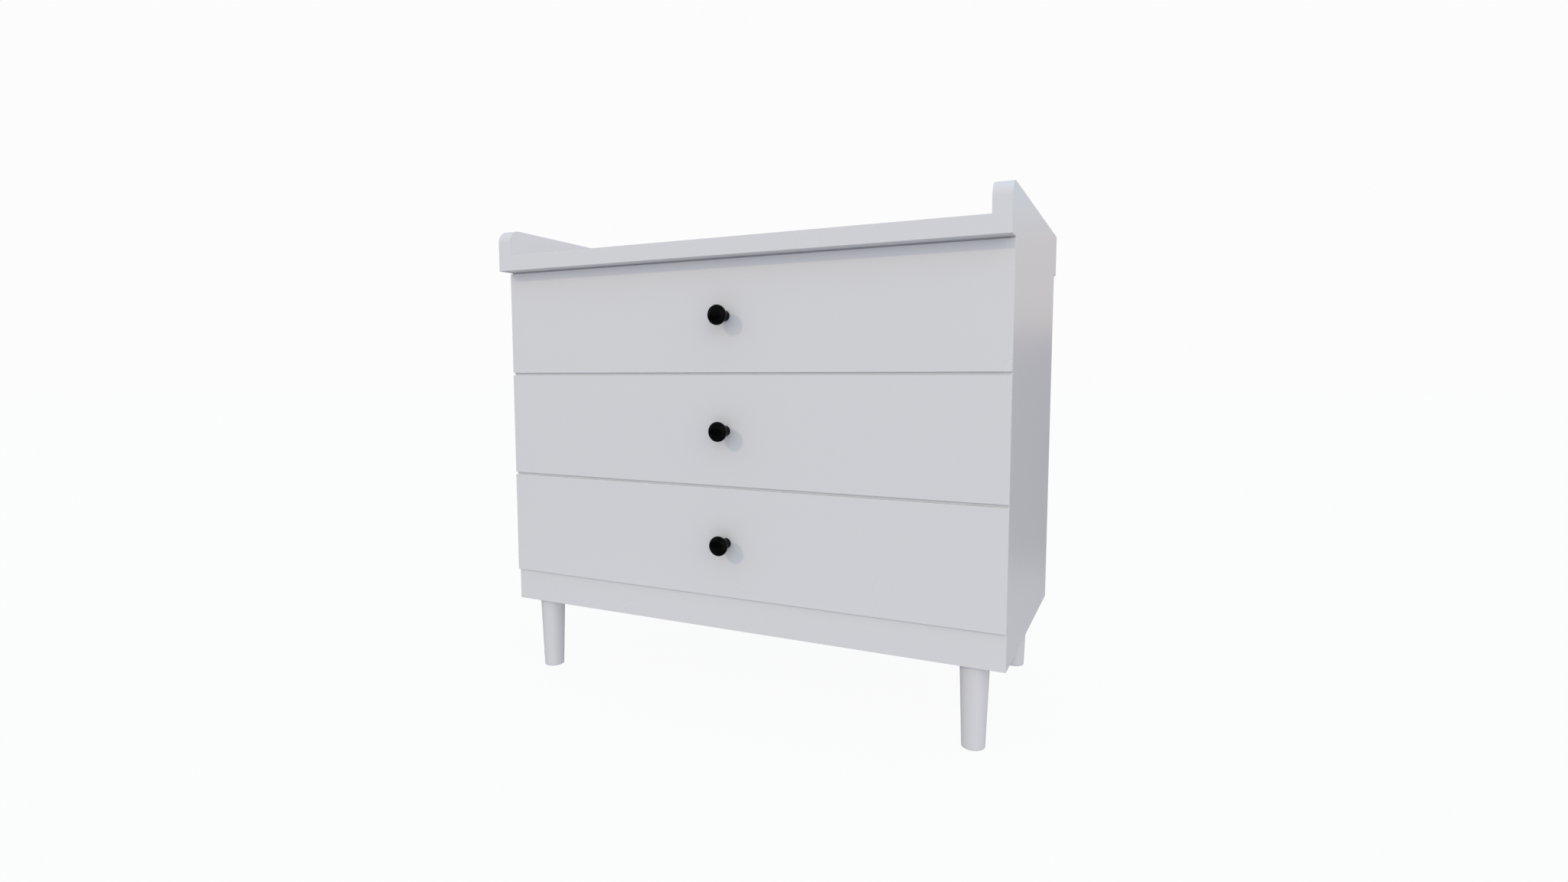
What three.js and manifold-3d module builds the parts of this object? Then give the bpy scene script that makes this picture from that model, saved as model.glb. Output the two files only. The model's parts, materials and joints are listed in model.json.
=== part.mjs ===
// A changing table: a chest of three drawers on four turned legs, with a changing top whose sides and
// back stand up as guard boards. Units are millimetres, +Z is up and the drawers face -Y.
// The cabinet is laid out with X = 0 on its centre line, Y = 0 on the face of the drawer fronts and
// Z = 0 on the floor; the exported group then centres the whole object over its own footprint.
import * as THREE from "three";
import { mergeVertices } from "three/addons/utils/BufferGeometryUtils.js";
import Module from "manifold-3d";

const wasm = await Module();
wasm.setup();

// ---- Driving dimensions ----
const WIDTH = 1000;
const BOARD = 18; // carcass boards and drawer fronts
const TOP_BOARD = 30; // changing top and its guard boards
const TOP_OVERHANG = 30; // the changing top beyond the drawer fronts, and beyond the carcass at the back
const CARCASS_REAR = 490;
const CARCASS_TOP = 820;
const GUARD_HEIGHT = 80; // from the underside of the changing top
const GUARD_RADIUS = 25; // the front top corner of each side guard

const LEG_HEIGHT = 145;
const LEG_TOP_RADIUS = 24.5;
const LEG_FOOT_RADIUS = 19.5;
const LEG_FOOT_ROUND = 1.5;
const LEG_FROM_SIDE = 55.5; // leg axis to the outer face of the side panel
const LEG_FROM_EDGE = 34.5; // leg axis to the front or back edge of the carcass

const FRONT_HEIGHT = 200;
const FRONT_SPACING = 205; // one drawer front to the next
const LOWEST_FRONT = 207.5; // bottom edge of the lowest drawer front
const LIP = 4.5; // thickness of the lip that covers the carcass edges
const LIP_GAP = 0.5; // between the lip and the carcass when the drawer is shut
const LIP_OVER_RAIL = 6.5; // how far a lip covers the rail below it
const FRONT_SIDE_REBATE = 20;
const FRONT_BOTTOM_REBATE = 8.5;
const FRONT_TOP_REBATE = 17.5;

const RAIL_DEPTH = 60;
const TOP_RAIL_DEPTH = 80;

const SHEET = 3; // back panel and drawer bottoms
const GROOVE = 3.4; // width of the grooves that hold them
const GROOVE_DEPTH = 6;
const SHEET_IN_GROOVE = 5.5;
const BACK_INSET = 11; // back panel to the back edge of the side panels

const DRAWER_BOARD = 12;
const DRAWER_DEPTH = 450;
const DRAWER_HEIGHT = 150;
const DRAWER_RAISE = 16; // drawer box above the bottom edge of its front
const BOTTOM_RAISE = 10; // drawer bottom above the lower edge of the box

const SLIDE_WIDTH = 13; // space between the side panel and the drawer box
const SLIDE_LENGTH = 450;
const SLIDE_RAISE = 75; // slide centre above the bottom edge of the drawer front
const SLIDE_SETBACK = 20; // slide's front end behind the face of the drawer fronts
const STEEL = 1.2;

const KNOB_RADIUS = 18;
const KNOB_LENGTH = 36;
const KNOB_STEM_RADIUS = 10;
const SCREW_RADIUS = 2;
const SCREW_CLEARANCE = 0.4;
const STUD_RADIUS = 4;

// ---- Worked out from them ----
const CARCASS_FRONT = LIP + LIP_GAP;
const HALF = WIDTH / 2;
const INSIDE = HALF - BOARD; // centre line to the inner face of a side panel
const PANEL_TOP = LEG_HEIGHT + BOARD; // upper face of the bottom panel
const TOP_FRONT = -TOP_OVERHANG;
const TOP_REAR = CARCASS_REAR + TOP_OVERHANG;
const BACK_FACE = CARCASS_REAR - BACK_INSET - SHEET; // inner face of the back panel
const BACK_CLEARANCE = (GROOVE - SHEET) / 2;
const BEHIND = BACK_FACE - 0.5; // where the boards in front of the back panel end
const BOX_HALF = INSIDE - SLIDE_WIDTH; // centre line to the outer face of a drawer side
const BOX_INSIDE = BOX_HALF - DRAWER_BOARD;
const BOX_REAR = BOARD + DRAWER_DEPTH;
const DRAWERS = ["lower", "centre", "upper"];
const SIDES = { left: -1, right: 1 };

// ---- Materials ----
const finish = (color, roughness, metalness = 0) =>
  new THREE.MeshStandardMaterial({ color, roughness, metalness });
const lacquer = finish(0xdcdce0, 0.42);
const drawerBoard = finish(0xe2e1de, 0.6);
const hardboard = finish(0xd9d8d5, 0.7);
const knobBlack = finish(0x060607, 0.15);
const zinc = finish(0xb9bcc0, 0.35, 1);

// ---- Shapes ----
function meshOf(name, geometry, material, x = 0, y = 0, z = 0) {
  const mesh = new THREE.Mesh(geometry, material);
  mesh.name = name;
  mesh.position.set(x, y, z);
  return mesh;
}

// A box from its lowest to its highest corner.
function boxBetween([x0, y0, z0], [x1, y1, z1]) {
  return new THREE.BoxGeometry(x1 - x0, y1 - y0, z1 - z0).translate(
    (x0 + x1) / 2,
    (y0 + y1) / 2,
    (z0 + z1) / 2,
  );
}

function board(name, low, high, material = lacquer) {
  return meshOf(name, boxBetween(low, high), material);
}

function solid(geometry) {
  const bare = geometry.clone();
  bare.deleteAttribute("normal");
  bare.deleteAttribute("uv");
  const merged = mergeVertices(bare, 1e-4);
  return new wasm.Manifold(
    new wasm.Mesh({
      numProp: 3,
      vertProperties: merged.attributes.position.array,
      triVerts: new Uint32Array(merged.index.array),
    }),
  );
}

function geometryOf(manifold) {
  const { vertProperties, triVerts } = manifold.getMesh();
  const geometry = new THREE.BufferGeometry();
  geometry.setAttribute("position", new THREE.BufferAttribute(vertProperties, 3));
  geometry.setIndex(new THREE.BufferAttribute(triVerts, 1));
  geometry.computeVertexNormals();
  return geometry;
}

function cut(geometry, ...tools) {
  return geometryOf(tools.reduce((left, tool) => left.subtract(solid(tool)), solid(geometry)));
}

// A solid turned about the Y axis, from [radius, y] points that start and end on the axis.
function turnedOnY(points, segments) {
  return new THREE.LatheGeometry(points.map(([r, y]) => new THREE.Vector2(r, y)), segments);
}

// The same, stood up so that the points are [radius, z].
function turnedOnZ(points, segments) {
  return turnedOnY(points, segments).rotateX(Math.PI / 2);
}

function drill(radius, length, segments = 24) {
  return new THREE.CylinderGeometry(radius, radius, length, segments);
}

// Points of an arc about [cx, cy] from one angle to another, both ends included.
function arc(cx, cy, rx, ry, from, to, steps) {
  return Array.from({ length: steps + 1 }, (_, i) => {
    const angle = from + ((to - from) * i) / steps;
    return [cx + rx * Math.cos(angle), cy + ry * Math.sin(angle)];
  });
}

function outline(points) {
  return new THREE.Shape(points.map(([x, y]) => new THREE.Vector2(x, y)));
}

// ---- Carcass ----
function sidePanel(side) {
  const inner = SIDES[side] * INSIDE;
  const outer = SIDES[side] * HALF;
  const bottomOfGroove = inner + SIDES[side] * GROOVE_DEPTH;
  const panel = boxBetween(
    [Math.min(inner, outer), CARCASS_FRONT, LEG_HEIGHT],
    [Math.max(inner, outer), CARCASS_REAR, CARCASS_TOP],
  );
  const groove = boxBetween(
    [Math.min(inner - SIDES[side], bottomOfGroove), BACK_FACE - BACK_CLEARANCE, LEG_HEIGHT - 1],
    [
      Math.max(inner - SIDES[side], bottomOfGroove),
      BACK_FACE + SHEET + BACK_CLEARANCE,
      CARCASS_TOP + 1,
    ],
  );
  return meshOf(`side_panel_${side}`, cut(panel, groove), lacquer);
}

// A board that spans the cabinet between the side panels.
function crossBoard(name, y0, y1, z0, z1) {
  return board(name, [-INSIDE, y0, z0], [INSIDE, y1, z1]);
}

// The rail whose front edge shows in the gap below the drawer front at bottomEdge.
function drawerRail(name, bottomEdge) {
  const top = bottomEdge + LIP_OVER_RAIL;
  return crossBoard(name, CARCASS_FRONT, CARCASS_FRONT + RAIL_DEPTH, top - BOARD, top);
}

function legPlaces() {
  const across = HALF - LEG_FROM_SIDE;
  const places = [];
  for (const [side, sign] of Object.entries(SIDES)) {
    places.push([`front_${side}`, sign * across, CARCASS_FRONT + LEG_FROM_EDGE]);
    places.push([`rear_${side}`, sign * across, CARCASS_REAR - LEG_FROM_EDGE]);
  }
  return places;
}

function bottomPanel() {
  const panel = boxBetween(
    [-INSIDE, CARCASS_FRONT + BOARD, LEG_HEIGHT],
    [INSIDE, BEHIND, PANEL_TOP],
  );
  const holes = legPlaces().map(([, x, y]) =>
    drill(STUD_RADIUS + 0.5, 3 * BOARD)
      .rotateX(Math.PI / 2)
      .translate(x, y, PANEL_TOP - BOARD / 2),
  );
  return meshOf("bottom_panel", cut(panel, ...holes), lacquer);
}

function backPanel() {
  const half = INSIDE + SHEET_IN_GROOVE;
  return board(
    "back_panel",
    [-half, BACK_FACE, LEG_HEIGHT + 0.5],
    [half, BACK_FACE + SHEET, CARCASS_TOP - 0.5],
    hardboard,
  );
}

function carcass() {
  const group = new THREE.Group();
  group.add(
    sidePanel("left"),
    sidePanel("right"),
    bottomPanel(),
    backPanel(),
    crossBoard(
      "plinth_rail",
      CARCASS_FRONT,
      CARCASS_FRONT + BOARD,
      LEG_HEIGHT,
      LOWEST_FRONT + LIP_OVER_RAIL,
    ),
    drawerRail("drawer_rail_lower", LOWEST_FRONT + FRONT_SPACING),
    drawerRail("drawer_rail_upper", LOWEST_FRONT + 2 * FRONT_SPACING),
    crossBoard(
      "top_rail_front",
      CARCASS_FRONT,
      CARCASS_FRONT + TOP_RAIL_DEPTH,
      CARCASS_TOP - BOARD,
      CARCASS_TOP,
    ),
    crossBoard("top_rail_rear", BEHIND - TOP_RAIL_DEPTH, BEHIND, CARCASS_TOP - BOARD, CARCASS_TOP),
  );
  return group;
}

// ---- Changing top ----
// A side guard, drawn in the Y-Z plane with its front top corner rounded and extruded along X.
function sideGuard(side) {
  const top = CARCASS_TOP + GUARD_HEIGHT;
  const corner = arc(
    TOP_FRONT + GUARD_RADIUS,
    top - GUARD_RADIUS,
    GUARD_RADIUS,
    GUARD_RADIUS,
    Math.PI,
    Math.PI / 2,
    12,
  );
  const profile = outline([
    [TOP_FRONT, CARCASS_TOP],
    ...corner,
    [TOP_REAR, top],
    [TOP_REAR, CARCASS_TOP],
  ]);
  const geometry = new THREE.ExtrudeGeometry(profile, { depth: TOP_BOARD, bevelEnabled: false });
  const x = new THREE.Vector3(1, 0, 0);
  const y = new THREE.Vector3(0, 1, 0);
  const z = new THREE.Vector3(0, 0, 1);
  geometry.applyMatrix4(new THREE.Matrix4().makeBasis(y, z, x));
  const lowX = side === "left" ? -HALF : HALF - TOP_BOARD;
  return meshOf(`guard_${side}`, geometry, lacquer, lowX);
}

function changingTop() {
  const group = new THREE.Group();
  const inner = HALF - TOP_BOARD;
  group.add(
    board(
      "top_board",
      [-inner, TOP_FRONT, CARCASS_TOP],
      [inner, CARCASS_REAR, CARCASS_TOP + TOP_BOARD],
    ),
    board(
      "guard_rear",
      [-inner, CARCASS_REAR, CARCASS_TOP],
      [inner, TOP_REAR, CARCASS_TOP + GUARD_HEIGHT],
    ),
    sideGuard("left"),
    sideGuard("right"),
  );
  return group;
}

// ---- Legs ----
const STUD_IN_LEG = 40;
const STUD_FLANGE_RADIUS = 11;
const STUD_FLANGE = 2;

function legGeometry() {
  const bore = STUD_RADIUS + 0.3;
  const foot = arc(
    LEG_FOOT_RADIUS - LEG_FOOT_ROUND,
    LEG_FOOT_ROUND,
    LEG_FOOT_ROUND,
    LEG_FOOT_ROUND,
    -Math.PI / 2,
    0,
    3,
  );
  const boreEnd = LEG_HEIGHT - STUD_IN_LEG - 1;
  return turnedOnZ(
    [[0, 0], ...foot, [LEG_TOP_RADIUS, LEG_HEIGHT], [bore, LEG_HEIGHT], [bore, boreEnd], [0, boreEnd]],
    40,
  );
}

// The threaded stud that joins a leg to the bottom panel, with its flange on the panel's upper face.
function studGeometry() {
  const flangeTop = PANEL_TOP + STUD_FLANGE;
  return turnedOnZ(
    [
      [0, LEG_HEIGHT - STUD_IN_LEG],
      [STUD_RADIUS, LEG_HEIGHT - STUD_IN_LEG],
      [STUD_RADIUS, PANEL_TOP],
      [STUD_FLANGE_RADIUS, PANEL_TOP],
      [STUD_FLANGE_RADIUS, flangeTop],
      [0, flangeTop],
    ],
    16,
  );
}

function legs() {
  const group = new THREE.Group();
  for (const [place, x, y] of legPlaces()) {
    group.add(meshOf(`leg_${place}`, legGeometry(), lacquer, x, y));
    group.add(meshOf(`leg_stud_${place}`, studGeometry(), zinc, x, y));
  }
  return group;
}

// ---- Drawer slides ----
// A steel channel along Y. Its web runs from s0 to s0 + STEEL and its flanges on to s1, where s is the
// distance from the side panel towards the drawer. A channel with s1 < s0 opens the other way.
function channel(s0, s1, halfHeight, side) {
  const toX = (s) => SIDES[side] * (INSIDE - s);
  const open = Math.sign(s1 - s0);
  const web = s0 + open * STEEL;
  const inside = halfHeight - STEEL;
  const points = [
    [s0, -halfHeight],
    [s1, -halfHeight],
    [s1, -inside],
    [web, -inside],
    [web, inside],
    [s1, inside],
    [s1, halfHeight],
    [s0, halfHeight],
  ].map(([s, z]) => [toX(s), z]);
  return new THREE.ExtrudeGeometry(outline(points), { depth: SLIDE_LENGTH, bevelEnabled: false })
    .rotateX(Math.PI / 2)
    .translate(0, SLIDE_SETBACK + SLIDE_LENGTH, SLIDE_RAISE);
}

// [web, flange end, half height] of the three nested members of a full-extension slide.
const SLIDE_MEMBERS = {
  cabinet: [0, 9.5, 22.5],
  intermediate: [3.2, 11, 17],
  drawer: [SLIDE_WIDTH, 6, 12],
};

function slideMembers(drawer) {
  const group = new THREE.Group();
  for (const side of Object.keys(SIDES)) {
    for (const [member, [web, end, halfHeight]] of Object.entries(SLIDE_MEMBERS)) {
      const geometry = channel(web, end, halfHeight, side);
      group.add(meshOf(`slide_${member}_${drawer}_${side}`, geometry, zinc));
    }
  }
  return group;
}

// ---- Drawers, each drawn with Z = 0 at the bottom edge of its front ----
const BOX_TOP = DRAWER_RAISE + DRAWER_HEIGHT;
const GROOVE_BOTTOM = DRAWER_RAISE + BOTTOM_RAISE;
const GROOVE_TOP = GROOVE_BOTTOM + GROOVE;

function drawerFront(name) {
  const lip = boxBetween([-HALF, 0, 0], [HALF, LIP, FRONT_HEIGHT]);
  const inner = boxBetween(
    [-HALF + FRONT_SIDE_REBATE, LIP - 1, FRONT_BOTTOM_REBATE],
    [HALF - FRONT_SIDE_REBATE, BOARD, FRONT_HEIGHT - FRONT_TOP_REBATE],
  );
  const grooveHalf = BOX_INSIDE + GROOVE_DEPTH;
  const groove = boxBetween(
    [-grooveHalf, BOARD - GROOVE_DEPTH, GROOVE_BOTTOM],
    [grooveHalf, BOARD + 1, GROOVE_TOP],
  );
  const hole = drill(SCREW_RADIUS + SCREW_CLEARANCE, 3 * BOARD).translate(0, 0, FRONT_HEIGHT / 2);
  const joined = geometryOf(solid(lip).add(solid(inner)));
  return meshOf(name, cut(joined, groove, hole), lacquer);
}

function drawerSide(name, side) {
  const sign = SIDES[side];
  const low = Math.min(sign * BOX_INSIDE, sign * BOX_HALF);
  const panel = boxBetween(
    [low, BOARD, DRAWER_RAISE],
    [low + DRAWER_BOARD, BOX_REAR, BOX_TOP],
  );
  const grooveEnd = sign * (BOX_INSIDE + GROOVE_DEPTH);
  const grooveStart = sign * (BOX_INSIDE - 1);
  const groove = boxBetween(
    [Math.min(grooveEnd, grooveStart), BOARD - 1, GROOVE_BOTTOM],
    [Math.max(grooveEnd, grooveStart), BOX_REAR + 1, GROOVE_TOP],
  );
  return meshOf(name, cut(panel, groove), drawerBoard);
}

function drawerBack(name) {
  const inner = BOX_REAR - DRAWER_BOARD;
  const panel = boxBetween([-BOX_INSIDE, inner, DRAWER_RAISE], [BOX_INSIDE, BOX_REAR, BOX_TOP]);
  const groove = boxBetween(
    [-BOX_INSIDE - 1, inner - 1, GROOVE_BOTTOM],
    [BOX_INSIDE + 1, inner + GROOVE_DEPTH, GROOVE_TOP],
  );
  return meshOf(name, cut(panel, groove), drawerBoard);
}

function drawerBottom(name) {
  const half = BOX_INSIDE + SHEET_IN_GROOVE;
  const z = GROOVE_BOTTOM + (GROOVE - SHEET) / 2;
  return board(
    name,
    [-half, BOARD - SHEET_IN_GROOVE, z],
    [half, BOX_REAR - DRAWER_BOARD + SHEET_IN_GROOVE, z + SHEET],
    hardboard,
  );
}

// A knob of a straight stem and a flattened round head, bored from behind for its screw. Half of the
// head's section is a squared-off ellipse, followed here from the stem round the rim to the front.
function knobGeometry() {
  const bore = SCREW_RADIUS + SCREW_CLEARANCE;
  const boreEnd = -KNOB_LENGTH / 2;
  const headHalf = 7.5;
  const headCentre = headHalf - KNOB_LENGTH;
  const squareness = 2.6; // 2 would be a true ellipse
  const neckRadius = KNOB_STEM_RADIUS - 0.5;
  const neckAngle = Math.acos((neckRadius / KNOB_RADIUS) ** (squareness / 2));
  const steps = 14;
  const head = Array.from({ length: steps }, (_, i) => {
    const angle = neckAngle - ((neckAngle + Math.PI / 2) * i) / steps;
    const across = Math.cos(angle) ** (2 / squareness);
    const along = Math.sign(angle) * Math.abs(Math.sin(angle)) ** (2 / squareness);
    return [KNOB_RADIUS * across, headCentre + headHalf * along];
  });
  return turnedOnY(
    [[0, -KNOB_LENGTH], ...head.reverse(), [KNOB_STEM_RADIUS, 0], [bore, 0], [bore, boreEnd], [0, boreEnd]],
    40,
  );
}

function knobScrewGeometry() {
  const headRadius = 4.2;
  const headHeight = 2.4;
  const end = -16;
  return turnedOnY(
    [
      [0, end],
      [SCREW_RADIUS, end],
      [SCREW_RADIUS, BOARD],
      [headRadius, BOARD],
      [headRadius, BOARD + headHeight * 0.6],
      [headRadius * 0.7, BOARD + headHeight],
      [0, BOARD + headHeight],
    ],
    16,
  );
}

function drawer(place) {
  const name = `drawer_${place}`;
  const group = new THREE.Group();
  const middle = FRONT_HEIGHT / 2;
  group.add(
    drawerFront(`${name}_front`),
    drawerSide(`${name}_side_left`, "left"),
    drawerSide(`${name}_side_right`, "right"),
    drawerBack(`${name}_back`),
    drawerBottom(`${name}_bottom`),
    meshOf(`${name}_knob`, knobGeometry(), knobBlack, 0, 0, middle),
    meshOf(`${name}_knob_screw`, knobScrewGeometry(), zinc, 0, 0, middle),
    slideMembers(place),
  );
  return group;
}

// ---- The whole object ----
const changingTable = new THREE.Group();
changingTable.add(carcass(), changingTop(), legs());
DRAWERS.forEach((place, i) => {
  const placed = drawer(place);
  placed.position.z = LOWEST_FRONT + i * FRONT_SPACING;
  changingTable.add(placed);
});
changingTable.position.y = -(TOP_REAR - KNOB_LENGTH) / 2;

export default changingTable;
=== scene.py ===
"""The looks of the changing table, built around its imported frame. Lengths are in metres, +Z is up and
the drawers face -Y. Every board, turned piece and slide member is made here with its real rounded edges,
bends, threads and holes, and stands for the plain CAD solid of the same size."""

import json
from math import acos, atan2, copysign, cos, pi, radians, sin, tan, tau

import bmesh
import bpy
from mathutils import Matrix, Vector


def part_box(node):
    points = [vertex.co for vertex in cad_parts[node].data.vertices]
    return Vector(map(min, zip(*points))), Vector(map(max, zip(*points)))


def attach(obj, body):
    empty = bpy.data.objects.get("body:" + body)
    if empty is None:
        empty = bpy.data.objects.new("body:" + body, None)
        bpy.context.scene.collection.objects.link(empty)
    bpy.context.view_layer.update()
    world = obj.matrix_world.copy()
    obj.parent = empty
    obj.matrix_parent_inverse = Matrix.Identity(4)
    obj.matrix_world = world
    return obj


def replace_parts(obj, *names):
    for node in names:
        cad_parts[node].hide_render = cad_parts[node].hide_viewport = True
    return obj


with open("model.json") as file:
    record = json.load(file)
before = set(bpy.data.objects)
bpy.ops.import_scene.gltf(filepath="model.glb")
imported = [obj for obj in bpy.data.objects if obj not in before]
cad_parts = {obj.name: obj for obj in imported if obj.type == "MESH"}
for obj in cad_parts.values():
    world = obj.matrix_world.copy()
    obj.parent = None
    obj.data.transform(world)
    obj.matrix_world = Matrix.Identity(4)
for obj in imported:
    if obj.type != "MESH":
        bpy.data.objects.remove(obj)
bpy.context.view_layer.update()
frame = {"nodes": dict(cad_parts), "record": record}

MM = 0.001
SIDES = ("left", "right")
DRAWERS = ("lower", "centre", "upper")
BODIES = frame["record"]["behaviour"]["bodies"]
BODY_OF = {node: body for body, nodes in BODIES.items() for node in nodes}
SLOT_OF = {part["node"]: part["material_slot"] for part in frame["record"]["subparts"]}

# ---- Sizes that the frame doesn't hold ----
BOARD_ROUND = 0.4 * MM
FOIL_ROUND = 1.0 * MM
SHEET_ROUND = 0.3 * MM
GUARD_RADIUS = 25 * MM

# Drawer slides. Setbacks are from a member's front end.
STEEL = 1.2 * MM
BEND = 1.0 * MM  # at the middle of the steel's thickness
CABINET_LIP = 2.0 * MM
MIDDLE_LIP = 1.8 * MM
DRAWER_LIP = 1.5 * MM
SCREW_HOLE = 2.4 * MM  # radius
DRIVER_HOLE = 4.5 * MM  # radius, for a screwdriver to reach through
SCREW_SETBACKS = [(22 + 128 * i) * MM for i in range(4)]
SPARE_SETBACKS = [(54 + 128 * i) * MM for i in range(3)]
LEVER_SETBACK = 166 * MM

# Ball cages. Web, edge and seat are how far the cage's web and edges and the balls' centres lie from the side
# panel, reach is how far the edges lie above and below the middle, and ball is the balls' radius.
CAGE_SETBACK = 10 * MM
CAGE_LENGTH = 210 * MM
CAGE_STEEL = 0.6 * MM
CAGE_BALLS = 14  # along each edge
OUTER_CAGE = {"web": 2.1 * MM, "edge": 7.8 * MM, "reach": 19.15 * MM, "seat": 6.0 * MM, "ball": 2.0 * MM}
INNER_CAGE = {"web": 5.2 * MM, "edge": 9.4 * MM, "reach": 13.9 * MM, "seat": 7.9 * MM, "ball": 1.8 * MM}

# Cam fittings, and the dots that the drawer fronts shut against
CAM_RADIUS = 7.5 * MM
CAM_DEPTH = 9 * MM
CAM_SETBACK = 24 * MM
CAM_HEIGHTS = (35 * MM, 115 * MM)
DOT_RADIUS = 4 * MM
DOT_HEIGHT = 0.45 * MM
DOT_INSET = 22 * MM  # from a front's lower and upper edges

# ---- Fineness of the meshes ----
SHARP_ANGLE = radians(38)  # faces that turn by less than this run smoothly into each other
LARGE_TURNED = 128  # faces round a leg or a knob
SMALL_TURNED = 48  # round a stud, a cam or a knob's screw
TINY_TURNED = 32  # round a dot, a slide's screw or a hole

# ---- Camera and light ----
EYE = (0.6967, -1.4699, 0.6100)
EYE_PITCH = radians(-4.698)
EYE_TURN = radians(25.288)
LENS = 18  # mm, as is the sensor's width
SENSOR = 36
KEY_TRAVEL = Vector((0.4435, 0.7672, -0.4634))  # the way the key light shines
KEY_SPREAD = radians(1.4)
KEY_STRENGTH = 0.46
KEY_COLOUR = (1.0, 0.77, 0.52)
EMPTY = 0.974  # brightness of the empty background
STUDIO = (  # elevation in degrees, and the light that comes from there on every side
    (-90, (0.4, 0.42, 0.47)),
    (-14, (0.4, 0.42, 0.47)),
    (-12, (0.18, 0.18, 0.22)),
    (2, (0.18, 0.18, 0.22)),
    (4, (0.62, 0.54, 0.53)),
    (9, (0.62, 0.54, 0.53)),
    (12, (0.65, 0.75, 0.82)),
    (20, (0.65, 0.75, 0.82)),
    (30, (0.62, 0.65, 0.73)),
    (55, (0.6, 0.7, 0.85)),
    (90, (0.6, 0.7, 0.85)),
)
SOFT_BOXES = (  # the way to each, and its light
    ((0.55, -0.83, 0.05), (0.54, 0.57, 0.6)),
    ((0.90, -0.10, 0.40), (0.3, 0.2, 0.1)),
)
SOFT_BOX_CORE = radians(15)  # full light within this angle of the way to it
SOFT_BOX_EDGE = radians(50)  # none beyond this
FLOOR_SIZE = 30.0  # half its width
FLOOR_PAINT = 0.06  # how much of the studio's light it throws back
FLOOR_GLOW = 0.93  # its own even light


# ---- Node trees ----
def put(tree, kind, inputs=None, **settings):
    """Adds a node, with settings, and with values or sockets on the inputs named by name or number."""
    node = tree.nodes.new(kind)
    for key, value in settings.items():
        setattr(node, key, value)
    for key, value in (inputs or {}).items():
        if isinstance(value, bpy.types.NodeSocket):
            tree.links.new(value, node.inputs[key])
        else:
            node.inputs[key].default_value = value
    return node


def ramp(tree, factor, stops):
    """A colour ramp of (position, colour) stops, read at factor."""
    node = put(tree, "ShaderNodeValToRGB", {"Fac": factor})
    elements = node.color_ramp.elements
    while len(elements) < len(stops):
        elements.new(0.5)
    for element, (position, colour) in zip(elements, stops):
        element.position = position
        element.color = (*colour, 1)
    return node.outputs["Color"]


def noise(tree, place, scale, detail, stretch=(1, 1, 1)):
    spread = put(tree, "ShaderNodeMapping", {"Vector": place, "Scale": stretch})
    inputs = {"Vector": spread.outputs[0], "Scale": scale, "Detail": detail}
    return put(tree, "ShaderNodeTexNoise", inputs).outputs["Fac"]


def between(tree, factor, low, high):
    """Maps factor from 0..1 to low..high."""
    inputs = {"Value": factor, "To Min": low, "To Max": high}
    return put(tree, "ShaderNodeMapRange", inputs).outputs[0]


def tint(tree, factor, dark, light):
    """A colour from dark to light, by factor."""
    inputs = {0: factor, 6: (*dark, 1), 7: (*light, 1)}
    return put(tree, "ShaderNodeMix", inputs, data_type="RGBA").outputs[2]


def bump(tree, height, depth):
    return put(tree, "ShaderNodeBump", {"Height": height, "Distance": depth}).outputs[0]


def surface(name, make):
    """A material whose shader inputs come from make(tree, place), place being the object's coordinates."""
    made = bpy.data.materials.new(name)
    made.use_nodes = True
    tree = made.node_tree
    tree.nodes.clear()
    place = put(tree, "ShaderNodeTexCoord").outputs["Object"]
    shader = put(tree, "ShaderNodeBsdfPrincipled", make(tree, place))
    put(tree, "ShaderNodeOutputMaterial", {"Surface": shader.outputs[0]})
    return made


# ---- Materials ----
def satin_lacquer(tree, place):
    """Sprayed lacquer: even colour, a faint orange peel and slow changes of sheen."""
    return {
        "Base Color": tint(tree, noise(tree, place, 2.5, 1), (0.818, 0.818, 0.820), (0.824, 0.824, 0.826)),
        "Roughness": between(tree, noise(tree, place, 6, 1), 0.26, 0.28),
        "Normal": bump(tree, noise(tree, place, 300, 1), 0.002 * MM),
    }


def leg_lacquer(tree, place):
    """The same lacquer on turned wood, with the turning's fine rings just felt through it."""
    rings = noise(tree, place, 40, 3, stretch=(1, 1, 22))
    return {
        "Base Color": tint(tree, noise(tree, place, 6, 3), (0.785, 0.785, 0.788), (0.800, 0.800, 0.802)),
        "Roughness": between(tree, noise(tree, place, 30, 2), 0.27, 0.32),
        "Normal": bump(tree, rings, 0.03 * MM),
    }


def foil(tree, place):
    """The drawer boxes' matte white foil, pressed with a fine grain along the boards."""
    grain = noise(tree, place, 260, 4, stretch=(0.06, 0.06, 1))
    return {
        "Base Color": tint(tree, grain, (0.69, 0.685, 0.67), (0.73, 0.725, 0.71)),
        "Roughness": between(tree, grain, 0.46, 0.58),
        "Normal": bump(tree, grain, 0.05 * MM),
    }


def painted_hardboard(tree, place):
    """Thin fibre board with one coat of paint, so that its fibres show as a soft mottle."""
    fibres = noise(tree, place, 480, 5)
    return {
        "Base Color": tint(tree, fibres, (0.63, 0.625, 0.605), (0.70, 0.695, 0.675)),
        "Roughness": between(tree, fibres, 0.5, 0.66),
        "Normal": bump(tree, fibres, 0.06 * MM),
    }


def black_gloss(tree, place):
    """Deep black enamel that mirrors little, a bit uneven where hands have wiped it."""
    smears = noise(tree, place, 90, 3)
    return {
        "Base Color": tint(tree, noise(tree, place, 900, 2), (0.0004,) * 3, (0.0010,) * 3),
        "Roughness": between(tree, smears, 0.03, 0.06),
        "Normal": bump(tree, noise(tree, place, 260, 1), 0.002 * MM),
        "IOR": 1.16,
    }


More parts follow.
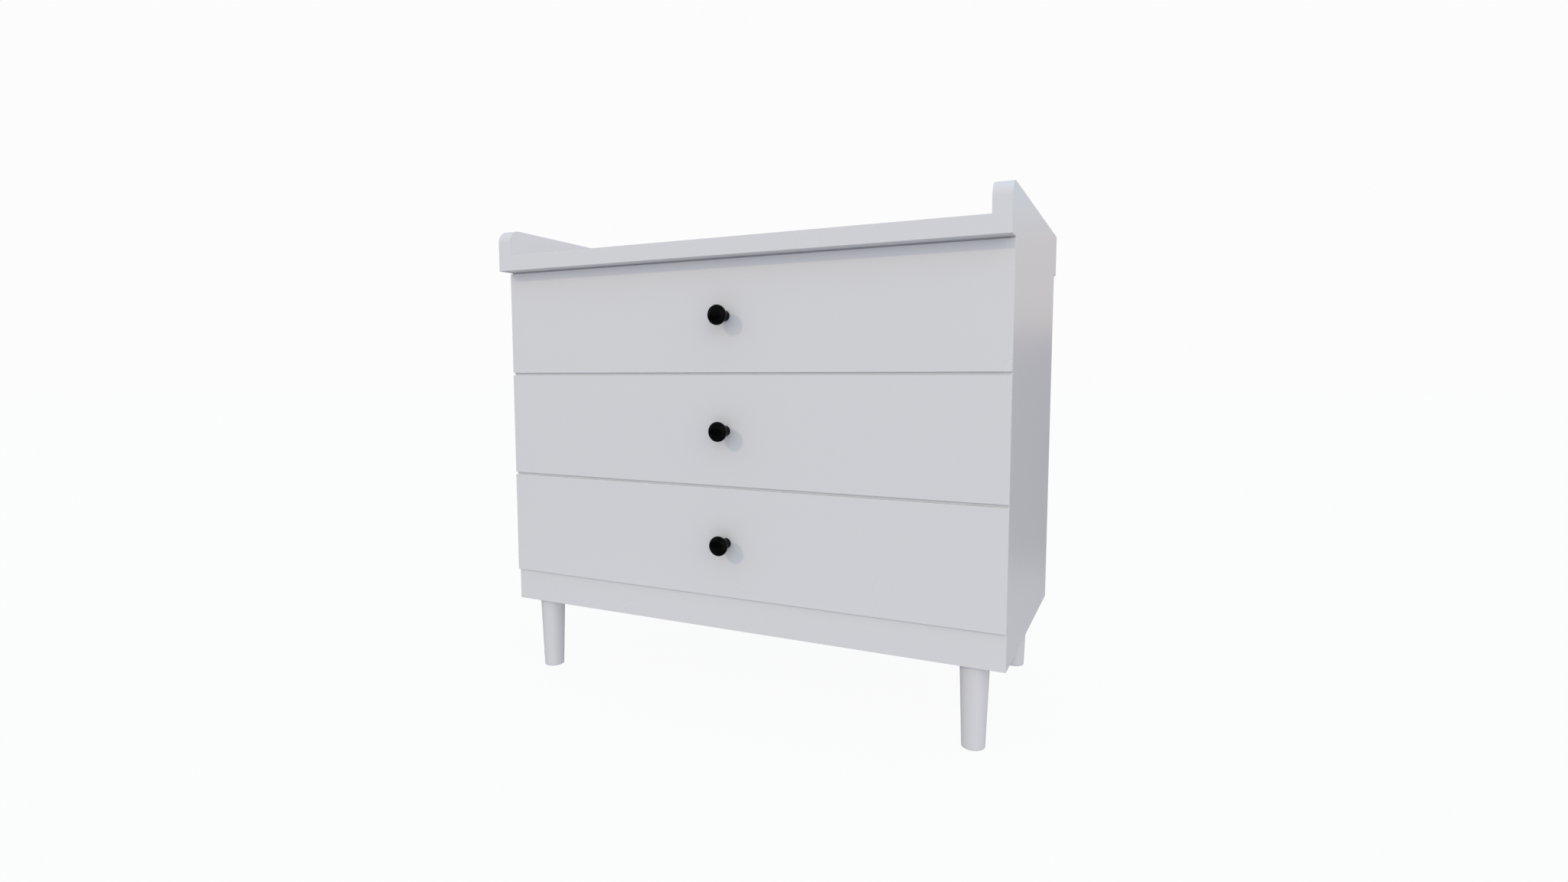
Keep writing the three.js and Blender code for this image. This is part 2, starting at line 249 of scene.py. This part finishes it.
def zinc(tree, place):
    """Rolled steel, bright zinc plated: lines along the rolling and a cloudy plating."""
    lines = noise(tree, place, 900, 3, stretch=(1, 0.02, 1))
    clouds = noise(tree, place, 55, 5)
    return {
        "Base Color": tint(tree, clouds, (0.55, 0.57, 0.60), (0.68, 0.69, 0.70)),
        "Metallic": 1.0,
        "Roughness": between(tree, clouds, 0.24, 0.38),
        "Normal": bump(tree, lines, 0.01 * MM),
    }


def black_plastic(tree, place):
    """Moulded black plastic with a fine spark-eroded grain."""
    grain = noise(tree, place, 1400, 3)
    return {
        "Base Color": tint(tree, grain, (0.012, 0.012, 0.013), (0.02, 0.02, 0.021)),
        "Roughness": between(tree, grain, 0.42, 0.55),
        "Normal": bump(tree, grain, 0.03 * MM),
    }


def clear_rubber(tree, place):
    """The soft clear dots that the drawer fronts shut against."""
    haze = noise(tree, place, 300, 2)
    return {
        "Base Color": tint(tree, haze, (0.62, 0.63, 0.64), (0.72, 0.73, 0.74)),
        "Roughness": between(tree, haze, 0.2, 0.32),
        "Subsurface Weight": 0.2,
    }


FINISH = {
    "white_lacquer": surface("white lacquer", satin_lacquer),
    "leg_lacquer": surface("leg lacquer", leg_lacquer),
    "drawer_board": surface("drawer foil", foil),
    "hardboard": surface("painted hardboard", painted_hardboard),
    "black_gloss": surface("black gloss", black_gloss),
    "zinc_steel": surface("zinc plate", zinc),
}
PLASTIC = surface("black plastic", black_plastic)
RUBBER = surface("clear rubber", clear_rubber)


# ---- Making pieces ----
def corner_normals(made):
    """One normal for each corner of each face: the mean of the faces round that corner that are nearly in
    line with it, by area. Flat faces stay flat to their edges, and round ones run smoothly into them."""
    least = cos(SHARP_ANGLE)
    facts = [(face.normal.copy(), face.calc_area()) for face in made.faces]
    normals = []
    for face in made.faces:
        own = facts[face.index][0]
        for loop in face.loops:
            around = [facts[other.index] for other in loop.vert.link_faces]
            mean = sum((way * area for way, area in around if way.dot(own) > least), Vector())
            normals.append(mean.normalized() if mean.length > 0 else own)
    return normals


def piece_of(name, made, body, material):
    """Turns a bmesh into a piece that rides on body, smooth but for its sharp edges."""
    bmesh.ops.recalc_face_normals(made, faces=made.faces)
    made.normal_update()
    made.faces.index_update()
    for face in made.faces:
        face.smooth = True
    normals = corner_normals(made)
    mesh = bpy.data.meshes.new(name)
    made.to_mesh(mesh)
    made.free()
    mesh.normals_split_custom_set(normals)
    mesh.materials.append(material)
    piece = bpy.data.objects.new(name, mesh)
    bpy.context.scene.collection.objects.link(piece)
    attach(piece, body)
    return piece


def inwards_of(node):
    """+1 where the middle of the chest is towards +X, else -1."""
    return 1 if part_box(node)[0].x < 0 else -1


def stand_in(node, word, made):
    """A piece that replaces a CAD node, and takes its body and its finish from it."""
    slot = SLOT_OF[node]
    piece = piece_of(f"{node}_{word}", made, BODY_OF[node], FINISH[slot])
    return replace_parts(piece, node)


# ---- Building meshes ----
def extruded(outline, way):
    """A prism: a closed outline of 3-D points, pushed along way."""
    made = bmesh.new()
    face = made.faces.new([made.verts.new(point) for point in outline])
    grown = bmesh.ops.extrude_face_region(made, geom=[face])["geom"]
    far_corners = [item for item in grown if isinstance(item, bmesh.types.BMVert)]
    bmesh.ops.translate(made, vec=way, verts=far_corners)
    bmesh.ops.recalc_face_normals(made, faces=made.faces)
    return made


def turned(profile, segments):
    """A solid turned round Z from (radius, height) points that start and end on the axis."""
    made = bmesh.new()
    rings = []
    for radius, height in profile:
        count = segments if radius > 1e-9 else 1
        angles = [tau * i / count for i in range(count)]
        rings.append([made.verts.new((radius * cos(a), radius * sin(a), height)) for a in angles])
    for one, other in zip(rings, rings[1:]):
        for i in range(segments):
            corners = [ring[(i + k) % len(ring)] for ring, k in ((one, 0), (one, 1), (other, 1), (other, 0))]
            made.faces.new(tuple(dict.fromkeys(corners)))
    bmesh.ops.recalc_face_normals(made, faces=made.faces)
    return made


def arc(centre, radii, start, end, steps):
    """Points along an arc of an ellipse, or of a circle where both radii are alike."""
    angles = [start + (end - start) * i / steps for i in range(steps + 1)]
    return [(centre[0] + radii[0] * cos(a), centre[1] + radii[1] * sin(a)) for a in angles]


def strip(path, thickness, bend):
    """The outline of a folded strip, whose centre line follows the corner points of path."""
    path = [Vector(point) for point in path]
    ways = [(end - start).normalized() for start, end in zip(path, path[1:])]
    lefts = [Vector((-way.y, way.x)) for way in ways]
    steps = 4
    line = [(path[0], lefts[0])]
    for corner, way, next_way, left in zip(path[1:], ways, ways[1:], lefts):
        turn = atan2(way.cross(next_way), way.dot(next_way))
        inside = left if turn > 0 else -left
        centre = corner - way * bend * tan(abs(turn) / 2) + inside * bend
        for i in range(steps + 1):
            turned_by = Matrix.Rotation(turn * i / steps, 2)
            line.append((centre - turned_by @ inside * bend, turned_by @ left))
    line.append((path[-1], lefts[-1]))
    half = thickness / 2
    there = [point + left * half for point, left in line]
    back = [point - left * half for point, left in reversed(line)]
    return there + back


def placed(made, spot, way=(0, 0, 1)):
    """A copy of a bmesh, its origin moved to spot and its Z axis turned to way."""
    copy = made.copy()
    turn = Vector(way).to_track_quat("Z", "Y").to_matrix().to_4x4()
    bmesh.ops.transform(copy, matrix=Matrix.Translation(spot) @ turn, verts=copy.verts)
    return copy


def joined(parts):
    """One bmesh that holds several."""
    whole = bmesh.new()
    for part in parts:
        mesh = bpy.data.meshes.new("part")
        part.to_mesh(mesh)
        whole.from_mesh(mesh)
        bpy.data.meshes.remove(mesh)
    return whole


def carved(solid, tools):
    """A solid less some tools, all of them closed bmeshes."""
    holders = []
    for made in (solid, joined(tools)):
        mesh = bpy.data.meshes.new("carving")
        made.to_mesh(mesh)
        holder = bpy.data.objects.new("carving", mesh)
        bpy.context.scene.collection.objects.link(holder)
        holders.append(holder)
    cut = holders[0].modifiers.new("cut", "BOOLEAN")
    cut.solver = "EXACT"
    cut.object = holders[1]
    result = bmesh.new()
    result.from_object(holders[0], bpy.context.evaluated_depsgraph_get())
    for holder in holders:
        mesh = holder.data
        bpy.data.objects.remove(holder)
        bpy.data.meshes.remove(mesh)
    return result


# ---- Boards ----
def board_mesh(node):
    """The CAD board with whole faces instead of triangles."""
    made = bmesh.new()
    made.from_mesh(frame["nodes"][node].data)
    bmesh.ops.remove_doubles(made, verts=made.verts, dist=0.01 * MM)
    bmesh.ops.dissolve_limit(made, angle_limit=radians(1), verts=made.verts, edges=made.edges)
    return made


def guard_mesh(node):
    """A side guard, its front top corner a smooth quarter circle. It is split where other boards meet it, so
    that an edge can be rounded beside a joint and sharp along it."""
    low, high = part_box(node)
    steps = 40
    centre = (low.y + GUARD_RADIUS, high.z - GUARD_RADIUS)
    corner = arc(centre, (GUARD_RADIUS, GUARD_RADIUS), pi, pi / 2, steps)
    outline = [(low.y, low.z), *corner, (high.y, high.z), (high.y, low.z)]
    made = extruded([(low.x, y, z) for y, z in outline], Vector((high.x - low.x, 0, 0)))
    panel_low, panel_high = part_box("side_panel_left")
    top_of_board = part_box("top_board")[1]
    for place, across in ((top_of_board, (0, 0, 1)), (panel_low, (0, 1, 0)), (panel_high, (0, 1, 0))):
        everything = made.verts[:] + made.edges[:] + made.faces[:]
        bmesh.ops.bisect_plane(made, geom=everything, plane_co=place, plane_no=across, dist=1e-7)
    return made


def lies_in(point, boxes):
    return any(all(low[i] < point[i] < high[i] for i in range(3)) for low, high in boxes)


def is_free(edge, boxes):
    """True for an outer corner with nothing lying against it on either side, anywhere along it."""
    if len(edge.link_faces) != 2 or not edge.is_convex or edge.calc_face_angle() < SHARP_ANGLE:
        return False
    aside = 0.2 * MM
    spacing = 8 * MM
    start, end = (corner.co for corner in edge.verts)
    one, other = (face.normal for face in edge.link_faces)
    beside = (one - other) * aside
    count = 2 + int(edge.calc_length() / spacing)
    places = [start.lerp(end, (i + 0.5) / count) for i in range(count)]
    return not any(lies_in(place + way, boxes) for place in places for way in (beside, -beside))


def with_round_edges(node, made, radius):
    """The board with its free edges rounded. Edges that butt against another board of its body stay sharp,
    so that flush boards read as one surface."""
    neighbours = [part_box(other) for other in BODIES[BODY_OF[node]] if other != node]
    made.normal_update()
    edges = [edge for edge in made.edges if is_free(edge, neighbours)]
    bmesh.ops.bevel(made, geom=edges, offset=radius, segments=3, profile=0.5, affect="EDGES")
    return made


def boards():
    rounding = {"white_lacquer": BOARD_ROUND, "drawer_board": FOIL_ROUND, "hardboard": SHEET_ROUND}
    for node, slot in SLOT_OF.items():
        if slot not in rounding:
            continue
        made = guard_mesh(node) if node in ("guard_left", "guard_right") else board_mesh(node)
        made = with_round_edges(node, made, rounding[slot])
        if node.endswith(("_side_left", "_side_right")):
            made = carved(made, [placed(cam_bore(), spot, way) for spot, way in cam_spots(node)])
        stand_in(node, "rounded", made)


# ---- Cam fittings, two to each drawer side, that hold the front on ----
def cam_spots(node):
    """Where the cams lie on a drawer side's inner face, and the way they face."""
    low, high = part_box(node)
    face = min(low.x, high.x, key=abs)
    way = (inwards_of(node), 0, 0)
    return [((face, low.y + CAM_SETBACK, low.z + height), way) for height in CAM_HEIGHTS]


def cam_bore():
    return turned([(0, -CAM_DEPTH), (CAM_RADIUS, -CAM_DEPTH), (CAM_RADIUS, MM), (0, MM)], SMALL_TURNED)


def cam():
    """A zinc cam, a little below the board's face, with a cross recess for the driver."""
    radius = CAM_RADIUS - 0.2 * MM
    face = -0.5 * MM
    rim = 0.4 * MM
    bottom = 0.3 * MM - CAM_DEPTH
    profile = [(0, bottom), (radius, bottom), (radius, face - rim), (radius - rim, face), (0, face)]
    recess = cross(9 * MM, 2 * MM)
    return carved(turned(profile, SMALL_TURNED), [placed(recess, (0, 0, face))])


def cams():
    made = cam()
    for drawer in DRAWERS:
        for side in SIDES:
            node = f"drawer_{drawer}_side_{side}"
            both = joined([placed(made, spot, way) for spot, way in cam_spots(node)])
            piece_of(f"drawer_{drawer}_cams_{side}", both, BODY_OF[node], FINISH["zinc_steel"])


# ---- Soft dots on the carcass edges, that the drawer fronts shut against ----
def bumpers():
    dot = turned([(0, 0), *arc((0, 0), (DOT_RADIUS, DOT_HEIGHT), 0, pi / 2, 6)], TINY_TURNED)
    for drawer in DRAWERS:
        front_low, front_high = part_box(f"drawer_{drawer}_front")
        for side in SIDES:
            low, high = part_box(f"side_panel_{side}")
            across = (low.x + high.x) / 2
            heights = (front_low.z + DOT_INSET, front_high.z - DOT_INSET)
            both = joined([placed(dot, (across, low.y, height), (0, -1, 0)) for height in heights])
            piece_of(f"bumper_dots_{drawer}_{side}", both, "cabinet", RUBBER)


# ---- Legs ----
def legs():
    for side in SIDES:
        for end in ("front", "rear"):
            turned_leg(f"leg_{end}_{side}")
            threaded_stud(f"leg_stud_{end}_{side}")


def turned_leg(node):
    """A straight taper with a rounded foot, bored from above for its stud."""
    low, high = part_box(node)
    top_radius = (high.x - low.x) / 2
    foot_radius = 19.5 * MM
    foot_round = 1.6 * MM
    top_round = 0.4 * MM
    bore = 4.3 * MM
    bore_end = high.z - 41 * MM
    foot = arc((foot_radius - foot_round, foot_round), (foot_round, foot_round), -pi / 2, 0, 8)
    top = arc((top_radius - top_round, high.z - top_round), (top_round, top_round), 0, pi / 2, 4)
    profile = [(0, 0), *foot, *top, (bore, high.z), (bore, bore_end), (0, bore_end)]
    made = turned(profile, LARGE_TURNED)
    centre = (low + high) / 2
    stand_in(node, "turned", placed(made, (centre.x, centre.y, 0)))


def threaded_stud(node):
    """A threaded stud with a flange and a hexagon socket; the thread is a stack of ridges a pitch apart."""
    low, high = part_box(node)
    crest = 4 * MM
    root = 3.4 * MM
    pitch = 1.25 * MM
    flange = 2 * MM
    rim = 0.5 * MM
    flange_radius = (high.x - low.x) / 2
    ridges = int((high.z - flange - low.z) / pitch)
    thread = []
    for i in range(ridges):
        thread += [(root, low.z + i * pitch), (crest, low.z + (i + 0.5) * pitch)]
    head = [
        (root, high.z - flange),
        (flange_radius, high.z - flange),
        (flange_radius, high.z - rim),
        (flange_radius - rim, high.z),
        (0, high.z),
    ]
    made = turned([(0, low.z), *thread, *head], SMALL_TURNED)
    key = 3 * MM
    corners = 6
    socket = turned([(0, -flange), (key, -flange), (key, flange), (0, flange)], corners)
    made = carved(made, [placed(socket, (0, 0, high.z))])
    centre = (low + high) / 2
    stand_in(node, "threaded", placed(made, (centre.x, centre.y, 0)))


# ---- Knobs and screw heads ----
def knobs():
    for drawer in DRAWERS:
        turned_knob(f"drawer_{drawer}_knob")
        knob_screw(f"drawer_{drawer}_knob_screw")


def turned_knob(node):
    """A knob of a short stem and a flattened round head. The head's section is a squared-off ellipse,
    followed from the stem round the rim to the front."""
    low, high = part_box(node)
    radius = (high.x - low.x) / 2
    length = high.y - low.y
    head_half = 7.5 * MM
    squareness = 2.6
    stem = 10 * MM
    stem_round = 0.5 * MM
    neck = 9.5 * MM
    bore = 2.4 * MM
    start = acos((neck / radius) ** (squareness / 2))
    steps = 60
    head = []
    for i in range(steps):
        angle = (start + pi / 2) * i / steps - start
        along = copysign(abs(sin(angle)) ** (2 / squareness), angle)
        head.append((radius * cos(angle) ** (2 / squareness), length - head_half + head_half * along))
    foot = arc((stem - stem_round, stem_round), (stem_round, stem_round), -pi / 2, 0, 4)
    profile = [(0, length / 2), (bore, length / 2), (bore, 0), *foot, *head, (0, length)]
    made = turned(profile, LARGE_TURNED)
    centre = (low + high) / 2
    stand_in(node, "turned", placed(made, (centre.x, high.y, centre.z), (0, -1, 0)))


def knob_screw(node):
    """A pan-head screw, its head inside the drawer and its shank in the knob."""
    low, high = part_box(node)
    head_radius = (high.x - low.x) / 2
    head = 2.4 * MM
    shank = 2 * MM
    length = high.y - low.y
    rim = 1.4 * MM
    dome = arc((head_radius - rim, head - rim), (rim, rim), 0, pi / 2, 6)
    profile = [(0, head - length), (shank, head - length), (shank, 0), (head_radius, 0), *dome, (0, head)]
    recess = cross(4.6 * MM, 1.5 * MM)
    made = carved(turned(profile, SMALL_TURNED), [placed(recess, (0, 0, head))])
    centre = (low + high) / 2
    stand_in(node, "turned", placed(made, (centre.x, high.y - head, centre.z), (0, 1, 0)))


def cross(size, depth):
    """The tool that cuts a cross recess into a face at height zero."""
    half = size / 2
    bar = size / 9
    arm = [Vector((half, -bar, -depth)), Vector((half, bar, -depth)), Vector((bar, bar, -depth))]
    outline = [Matrix.Rotation(pi / 2 * i, 3, "Z") @ corner for i in range(4) for corner in arm]
    return extruded(outline, Vector((0, 0, 2 * depth)))


def flat_screw_head():
    """The low head of a slide's screw, standing on height zero."""
    radius = 3.6 * MM
    height = 1.5 * MM
    rim = 1.2 * MM
    dome = arc((radius - rim, height - rim), (rim, rim), 0, pi / 2, 5)
    made = turned([(0, 0), (radius, 0), *dome, (0, height)], TINY_TURNED)
    recess = cross(4 * MM, 0.9 * MM)
    return carved(made, [placed(recess, (0, 0, height))])


# ---- Slides ----
def slides():
    screw = flat_screw_head()
    for drawer in DRAWERS:
        for side in SIDES:
            cabinet = f"slide_cabinet_{drawer}_{side}"
            middle = f"slide_intermediate_{drawer}_{side}"
            box_side = f"slide_drawer_{drawer}_{side}"
            pressed_member(cabinet, True, CABINET_LIP, SCREW_HOLE)
            pressed_member(middle, True, MIDDLE_LIP, DRIVER_HOLE)
            pressed_member(box_side, False, DRAWER_LIP, SCREW_HOLE)
            member_screws(cabinet, True, screw)
            member_screws(box_side, False, screw)
            ball_cage("outer", cabinet, OUTER_CAGE)
            ball_cage("inner", middle, INNER_CAGE)
            release_lever(box_side)


def web_and_end(node, web_outside):
    """x of a member's web and of its flanges' ends. Only a drawer's member has its web inside."""
    near, far = sorted((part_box(node)[0].x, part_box(node)[1].x), key=abs)
    return (far, near) if web_outside else (near, far)


def pressed_member(node, web_outside, lip, hole):
    """A slide member of folded steel: a web with holes, two flanges and their turned-in lips."""
    low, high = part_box(node)
    web, end = web_and_end(node, web_outside)
    inside = STEEL / 2 if end > web else -STEEL / 2
    web_line = web + inside
    lip_line = end - inside
    middle = (low.z + high.z) / 2
    reach = (high.z - low.z) / 2 - STEEL / 2
    lower = [(lip_line, middle - reach + lip), (lip_line, middle - reach), (web_line, middle - reach)]
    upper = [(web_line, middle + reach), (lip_line, middle + reach), (lip_line, middle + reach - lip)]
    outline = strip(lower + upper, STEEL, BEND)
    made = extruded([(x, low.y, z) for x, z in outline], Vector((0, high.y - low.y, 0)))
    reach_through = 2 * STEEL
    profile = [(0, -reach_through), (hole, -reach_through), (hole, reach_through), (0, reach_through)]
    drill = turned(profile, TINY_TURNED)
    spots = [low.y + setback for setback in (*SCREW_SETBACKS, *SPARE_SETBACKS)]
    holes = [placed(drill, (web_line, y, middle), (1, 0, 0)) for y in spots]
    stand_in(node, "pressed", carved(made, holes))


def member_screws(node, web_outside, screw):
    """The screws that hold a member's web to its board."""
    low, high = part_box(node)
    web, end = web_and_end(node, web_outside)
    way = 1 if end > web else -1
    middle = (low.z + high.z) / 2
    spots = [(web + way * STEEL, low.y + setback, middle) for setback in SCREW_SETBACKS]
    made = joined([placed(screw, spot, (way, 0, 0)) for spot in spots])
    piece_of(f"{node}_screws", made, BODY_OF[node], FINISH["zinc_steel"])


def ball_cage(word, node, size):
    """A folded steel cage with balls along both its edges. It stays where both members reach it at either
    end of their travel."""
    web = size["web"]
    edge = size["edge"]
    reach = size["reach"]
    low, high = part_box(node)
    inwards = inwards_of(node)
    face = -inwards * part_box("side_panel_right")[0].x
    middle = (low.z + high.z) / 2
    start = low.y + CAGE_SETBACK
    path = [(edge, -reach), (web, -reach), (web, reach), (edge, reach)]
    outline = strip([(face + inwards * x, middle + z) for x, z in path], CAGE_STEEL, CAGE_STEEL)
    cage = extruded([(x, start, z) for x, z in outline], Vector((0, CAGE_LENGTH, 0)))
    bar = 8 * MM
    half_window = reach - 1.5 * MM
    corners = [(-MM, -half_window), (-MM, half_window), (MM, half_window), (MM, -half_window)]
    opening = [(face + inwards * web + x, start + bar, middle + z) for x, z in corners]
    cage = carved(cage, [extruded(opening, Vector((0, CAGE_LENGTH - 2 * bar, 0)))])
    name = node.replace("slide_cabinet", "slide").replace("slide_intermediate", "slide")
    piece_of(f"{name}_{word}_ball_cage", cage, BODY_OF[node], FINISH["zinc_steel"])
    ball = bmesh.new()
    bmesh.ops.create_icosphere(ball, subdivisions=2, radius=size["ball"])
    pitch = CAGE_LENGTH / CAGE_BALLS
    places = [start + pitch * (i + 0.5) for i in range(CAGE_BALLS)]
    spots = [(face + inwards * size["seat"], y, middle + z) for y in places for z in (-reach, reach)]
    balls = joined([placed(ball, spot) for spot in spots])
    piece_of(f"{name}_{word}_balls", balls, BODY_OF[node], FINISH["zinc_steel"])


def release_lever(node):
    """The black plastic lever in a drawer's member that lets the drawer be lifted off its slides."""
    low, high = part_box(node)
    web, end = web_and_end(node, False)
    way = 1 if end > web else -1
    middle = (low.z + high.z) / 2
    start = low.y + LEVER_SETBACK
    crank = 3 * MM
    width = 5 * MM
    thickness = 2.4 * MM
    gap = 0.1 * MM
    path = [
        (start, middle - crank),
        (start + 22 * MM, middle - crank),
        (start + 38 * MM, middle + crank),
        (start + 62 * MM, middle + crank),
    ]
    outline = strip(path, width, 7 * MM)
    face = web + way * (STEEL + gap)
    made = extruded([(face, y, z) for y, z in outline], Vector((way * thickness, 0, 0)))
    made.normal_update()
    bmesh.ops.bevel(made, geom=made.edges[:], offset=0.3 * MM, segments=2, profile=0.5, affect="EDGES")
    piece_of(f"{node}_release_lever", made, BODY_OF[node], PLASTIC)


# ---- Camera, light and floor ----
def camera():
    data = bpy.data.cameras.new("camera")
    data.lens = LENS
    data.sensor_width = SENSOR
    data.clip_start = 0.01
    made = bpy.data.objects.new("camera", data)
    made.location = EYE
    made.rotation_euler = (pi / 2 + EYE_PITCH, 0, EYE_TURN)
    bpy.context.scene.collection.objects.link(made)
    bpy.context.scene.camera = made


def surroundings():
    """An even empty background for the camera. For light and reflections, a studio: grey ground, a dark strip
    and a warm one low on the walls, bluish walls and ceiling above, and soft boxes on the right."""
    world = bpy.data.worlds.new("studio")
    bpy.context.scene.world = world
    world.use_nodes = True
    tree = world.node_tree
    tree.nodes.clear()
    direction = put(tree, "ShaderNodeTexCoord").outputs["Generated"]
    height = put(tree, "ShaderNodeSeparateXYZ", {"Vector": direction}).outputs["Z"]
    share = put(tree, "ShaderNodeMapRange", {"Value": height, "From Min": -1.0}).outputs[0]
    stops = [((sin(radians(elevation)) + 1) / 2, colour) for elevation, colour in STUDIO]
    light = put(tree, "ShaderNodeBackground", {"Color": ramp(tree, share, stops)}).outputs[0]
    for way, colour in SOFT_BOXES:
        box = soft_box(tree, direction, way, colour)
        light = put(tree, "ShaderNodeAddShader", {0: light, 1: box}).outputs[0]
    empty = put(tree, "ShaderNodeBackground", {"Color": (EMPTY, EMPTY, EMPTY, 1)}).outputs[0]
    seen = put(tree, "ShaderNodeLightPath").outputs["Is Camera Ray"]
    both = put(tree, "ShaderNodeMixShader", {0: seen, 1: light, 2: empty}).outputs[0]
    put(tree, "ShaderNodeOutputWorld", {"Surface": both})


def soft_box(tree, direction, way, colour):
    """Light that fades out from a soft box's core to its edge."""
    inputs = {0: direction, 1: Vector(way).normalized()}
    nearness = put(tree, "ShaderNodeVectorMath", inputs, operation="DOT_PRODUCT").outputs["Value"]
    inputs = {"Value": nearness, "From Min": cos(SOFT_BOX_EDGE), "From Max": cos(SOFT_BOX_CORE)}
    share = put(tree, "ShaderNodeMapRange", inputs, interpolation_type="SMOOTHSTEP").outputs[0]
    return put(tree, "ShaderNodeBackground", {"Color": (*colour, 1), "Strength": share}).outputs[0]


def key_light(floor):
    """A small warm lamp, high on the left in front. It leaves the floor alone, so the ground stays even, and
    it isn't mirrored."""
    data = bpy.data.lights.new("key", "SUN")
    data.energy = KEY_STRENGTH
    data.color = KEY_COLOUR
    data.angle = KEY_SPREAD
    lamp = bpy.data.objects.new("key", data)
    lamp.rotation_euler = KEY_TRAVEL.to_track_quat("-Z", "Y").to_euler()
    bpy.context.scene.collection.objects.link(lamp)
    skipped = bpy.data.collections.new("not lit by the key")
    skipped.objects.link(floor)
    skipped.collection_objects[0].light_linking.link_state = "EXCLUDE"
    lamp.light_linking.receiver_collection = skipped
    lamp.visible_glossy = False


def pale_floor():
    """A wide floor, as bright as the background. A small part of its brightness is lit by the studio, which
    leaves a faint soft shadow under the object. The object isn't lit by it or mirrored in it: the floor lets
    the studio's light from below through."""
    made = bmesh.new()
    bmesh.ops.create_grid(made, x_segments=8, y_segments=8, size=FLOOR_SIZE)
    mesh = bpy.data.meshes.new("floor")
    made.to_mesh(mesh)
    floor = bpy.data.objects.new("floor", mesh)
    bpy.context.scene.collection.objects.link(floor)
    floor.visible_diffuse = False
    floor.visible_glossy = False
    floor.visible_shadow = False
    mesh.materials.append(surface("floor", floor_paint))
    return floor


def floor_paint(tree, place):
    mottle = noise(tree, place, 3, 2)
    return {
        "Base Color": tint(tree, mottle, (FLOOR_PAINT,) * 3, (FLOOR_PAINT * 1.02,) * 3),
        "Roughness": 1.0,
        "Specular IOR Level": 0.0,
        "Emission Color": (1, 1, 1, 1),
        "Emission Strength": FLOOR_GLOW,
    }


boards()
cams()
bumpers()
legs()
knobs()
slides()
camera()
surroundings()
key_light(pale_floor())
bpy.context.scene.view_settings.view_transform = "Standard"
